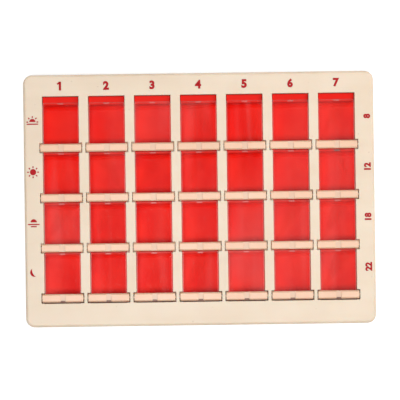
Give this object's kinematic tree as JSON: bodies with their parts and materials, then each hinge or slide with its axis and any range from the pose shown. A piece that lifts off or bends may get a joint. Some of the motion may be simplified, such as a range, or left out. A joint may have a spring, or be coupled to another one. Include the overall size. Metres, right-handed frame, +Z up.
{
  "type": "weekly pill organizer",
  "caption": "Flat cream case with seven red pocket trays; every pocket has a clear flip lid on its own cream hinge bar, sorted by day and time of day",
  "frame": {"origin": "middle of the underside, on the surface that the organizer lies on", "axes": "+X along the days from the first to the last, +Y from the night row up to the morning row, +Z up out of the lids"},
  "size_m": [0.195, 0.1404, 0.02],
  "materials": {
    "cream_plastic": "satin moulded cream plastic",
    "red_plastic": "glossy moulded red plastic",
    "clear_plastic": "clear glossy plastic"
  },
  "bodies": {
    "case_and_trays": {"case": "cream_plastic", "day_trays": "red_plastic"},
    "lid_mon_morning": {"hinge_bar_mon_morning": "cream_plastic", "lid_pane_mon_morning": "clear_plastic"},
    "lid_mon_noon": {"hinge_bar_mon_noon": "cream_plastic", "lid_pane_mon_noon": "clear_plastic"},
    "lid_mon_evening": {"hinge_bar_mon_evening": "cream_plastic", "lid_pane_mon_evening": "clear_plastic"},
    "lid_mon_night": {"hinge_bar_mon_night": "cream_plastic", "lid_pane_mon_night": "clear_plastic"},
    "lid_tue_morning": {"hinge_bar_tue_morning": "cream_plastic", "lid_pane_tue_morning": "clear_plastic"},
    "lid_tue_noon": {"hinge_bar_tue_noon": "cream_plastic", "lid_pane_tue_noon": "clear_plastic"},
    "lid_tue_evening": {"hinge_bar_tue_evening": "cream_plastic", "lid_pane_tue_evening": "clear_plastic"},
    "lid_tue_night": {"hinge_bar_tue_night": "cream_plastic", "lid_pane_tue_night": "clear_plastic"},
    "lid_wed_morning": {"hinge_bar_wed_morning": "cream_plastic", "lid_pane_wed_morning": "clear_plastic"},
    "lid_wed_noon": {"hinge_bar_wed_noon": "cream_plastic", "lid_pane_wed_noon": "clear_plastic"},
    "lid_wed_evening": {"hinge_bar_wed_evening": "cream_plastic", "lid_pane_wed_evening": "clear_plastic"},
    "lid_wed_night": {"hinge_bar_wed_night": "cream_plastic", "lid_pane_wed_night": "clear_plastic"},
    "lid_thu_morning": {"hinge_bar_thu_morning": "cream_plastic", "lid_pane_thu_morning": "clear_plastic"},
    "lid_thu_noon": {"hinge_bar_thu_noon": "cream_plastic", "lid_pane_thu_noon": "clear_plastic"},
    "lid_thu_evening": {"hinge_bar_thu_evening": "cream_plastic", "lid_pane_thu_evening": "clear_plastic"},
    "lid_thu_night": {"hinge_bar_thu_night": "cream_plastic", "lid_pane_thu_night": "clear_plastic"},
    "lid_fri_morning": {"hinge_bar_fri_morning": "cream_plastic", "lid_pane_fri_morning": "clear_plastic"},
    "lid_fri_noon": {"hinge_bar_fri_noon": "cream_plastic", "lid_pane_fri_noon": "clear_plastic"},
    "lid_fri_evening": {"hinge_bar_fri_evening": "cream_plastic", "lid_pane_fri_evening": "clear_plastic"},
    "lid_fri_night": {"hinge_bar_fri_night": "cream_plastic", "lid_pane_fri_night": "clear_plastic"},
    "lid_sat_morning": {"hinge_bar_sat_morning": "cream_plastic", "lid_pane_sat_morning": "clear_plastic"},
    "lid_sat_noon": {"hinge_bar_sat_noon": "cream_plastic", "lid_pane_sat_noon": "clear_plastic"},
    "lid_sat_evening": {"hinge_bar_sat_evening": "cream_plastic", "lid_pane_sat_evening": "clear_plastic"},
    "lid_sat_night": {"hinge_bar_sat_night": "cream_plastic", "lid_pane_sat_night": "clear_plastic"},
    "lid_sun_morning": {"hinge_bar_sun_morning": "cream_plastic", "lid_pane_sun_morning": "clear_plastic"},
    "lid_sun_noon": {"hinge_bar_sun_noon": "cream_plastic", "lid_pane_sun_noon": "clear_plastic"},
    "lid_sun_evening": {"hinge_bar_sun_evening": "cream_plastic", "lid_pane_sun_evening": "clear_plastic"},
    "lid_sun_night": {"hinge_bar_sun_night": "cream_plastic", "lid_pane_sun_night": "clear_plastic"}
  },
  "joints": [
    {"name": "lid_mon_morning_hinge", "type": "hinge", "parent": "case_and_trays", "child": "lid_mon_morning", "pos_m": [-0.0768, 0.02955, 0.0182], "axis": [1, 0, 0], "range_deg": [0, 95]},
    {"name": "lid_mon_noon_hinge", "type": "hinge", "parent": "case_and_trays", "child": "lid_mon_noon", "pos_m": [-0.0768, 0.00165, 0.0182], "axis": [1, 0, 0], "range_deg": [0, 95]},
    {"name": "lid_mon_evening_hinge", "type": "hinge", "parent": "case_and_trays", "child": "lid_mon_evening", "pos_m": [-0.0768, -0.02625, 0.0182], "axis": [1, 0, 0], "range_deg": [0, 95]},
    {"name": "lid_mon_night_hinge", "type": "hinge", "parent": "case_and_trays", "child": "lid_mon_night", "pos_m": [-0.0768, -0.05415, 0.0182], "axis": [1, 0, 0], "range_deg": [0, 95]},
    {"name": "lid_tue_morning_hinge", "type": "hinge", "parent": "case_and_trays", "child": "lid_tue_morning", "pos_m": [-0.0512, 0.02955, 0.0182], "axis": [1, 0, 0], "range_deg": [0, 95]},
    {"name": "lid_tue_noon_hinge", "type": "hinge", "parent": "case_and_trays", "child": "lid_tue_noon", "pos_m": [-0.0512, 0.00165, 0.0182], "axis": [1, 0, 0], "range_deg": [0, 95]},
    {"name": "lid_tue_evening_hinge", "type": "hinge", "parent": "case_and_trays", "child": "lid_tue_evening", "pos_m": [-0.0512, -0.02625, 0.0182], "axis": [1, 0, 0], "range_deg": [0, 95]},
    {"name": "lid_tue_night_hinge", "type": "hinge", "parent": "case_and_trays", "child": "lid_tue_night", "pos_m": [-0.0512, -0.05415, 0.0182], "axis": [1, 0, 0], "range_deg": [0, 95]},
    {"name": "lid_wed_morning_hinge", "type": "hinge", "parent": "case_and_trays", "child": "lid_wed_morning", "pos_m": [-0.0256, 0.02955, 0.0182], "axis": [1, 0, 0], "range_deg": [0, 95]},
    {"name": "lid_wed_noon_hinge", "type": "hinge", "parent": "case_and_trays", "child": "lid_wed_noon", "pos_m": [-0.0256, 0.00165, 0.0182], "axis": [1, 0, 0], "range_deg": [0, 95]},
    {"name": "lid_wed_evening_hinge", "type": "hinge", "parent": "case_and_trays", "child": "lid_wed_evening", "pos_m": [-0.0256, -0.02625, 0.0182], "axis": [1, 0, 0], "range_deg": [0, 95]},
    {"name": "lid_wed_night_hinge", "type": "hinge", "parent": "case_and_trays", "child": "lid_wed_night", "pos_m": [-0.0256, -0.05415, 0.0182], "axis": [1, 0, 0], "range_deg": [0, 95]},
    {"name": "lid_thu_morning_hinge", "type": "hinge", "parent": "case_and_trays", "child": "lid_thu_morning", "pos_m": [0, 0.02955, 0.0182], "axis": [1, 0, 0], "range_deg": [0, 95]},
    {"name": "lid_thu_noon_hinge", "type": "hinge", "parent": "case_and_trays", "child": "lid_thu_noon", "pos_m": [0, 0.00165, 0.0182], "axis": [1, 0, 0], "range_deg": [0, 95]},
    {"name": "lid_thu_evening_hinge", "type": "hinge", "parent": "case_and_trays", "child": "lid_thu_evening", "pos_m": [0, -0.02625, 0.0182], "axis": [1, 0, 0], "range_deg": [0, 95]},
    {"name": "lid_thu_night_hinge", "type": "hinge", "parent": "case_and_trays", "child": "lid_thu_night", "pos_m": [0, -0.05415, 0.0182], "axis": [1, 0, 0], "range_deg": [0, 95]},
    {"name": "lid_fri_morning_hinge", "type": "hinge", "parent": "case_and_trays", "child": "lid_fri_morning", "pos_m": [0.0256, 0.02955, 0.0182], "axis": [1, 0, 0], "range_deg": [0, 95]},
    {"name": "lid_fri_noon_hinge", "type": "hinge", "parent": "case_and_trays", "child": "lid_fri_noon", "pos_m": [0.0256, 0.00165, 0.0182], "axis": [1, 0, 0], "range_deg": [0, 95]},
    {"name": "lid_fri_evening_hinge", "type": "hinge", "parent": "case_and_trays", "child": "lid_fri_evening", "pos_m": [0.0256, -0.02625, 0.0182], "axis": [1, 0, 0], "range_deg": [0, 95]},
    {"name": "lid_fri_night_hinge", "type": "hinge", "parent": "case_and_trays", "child": "lid_fri_night", "pos_m": [0.0256, -0.05415, 0.0182], "axis": [1, 0, 0], "range_deg": [0, 95]},
    {"name": "lid_sat_morning_hinge", "type": "hinge", "parent": "case_and_trays", "child": "lid_sat_morning", "pos_m": [0.0512, 0.02955, 0.0182], "axis": [1, 0, 0], "range_deg": [0, 95]},
    {"name": "lid_sat_noon_hinge", "type": "hinge", "parent": "case_and_trays", "child": "lid_sat_noon", "pos_m": [0.0512, 0.00165, 0.0182], "axis": [1, 0, 0], "range_deg": [0, 95]},
    {"name": "lid_sat_evening_hinge", "type": "hinge", "parent": "case_and_trays", "child": "lid_sat_evening", "pos_m": [0.0512, -0.02625, 0.0182], "axis": [1, 0, 0], "range_deg": [0, 95]},
    {"name": "lid_sat_night_hinge", "type": "hinge", "parent": "case_and_trays", "child": "lid_sat_night", "pos_m": [0.0512, -0.05415, 0.0182], "axis": [1, 0, 0], "range_deg": [0, 95]},
    {"name": "lid_sun_morning_hinge", "type": "hinge", "parent": "case_and_trays", "child": "lid_sun_morning", "pos_m": [0.0768, 0.02955, 0.0182], "axis": [1, 0, 0], "range_deg": [0, 95]},
    {"name": "lid_sun_noon_hinge", "type": "hinge", "parent": "case_and_trays", "child": "lid_sun_noon", "pos_m": [0.0768, 0.00165, 0.0182], "axis": [1, 0, 0], "range_deg": [0, 95]},
    {"name": "lid_sun_evening_hinge", "type": "hinge", "parent": "case_and_trays", "child": "lid_sun_evening", "pos_m": [0.0768, -0.02625, 0.0182], "axis": [1, 0, 0], "range_deg": [0, 95]},
    {"name": "lid_sun_night_hinge", "type": "hinge", "parent": "case_and_trays", "child": "lid_sun_night", "pos_m": [0.0768, -0.05415, 0.0182], "axis": [1, 0, 0], "range_deg": [0, 95]}
  ]
}
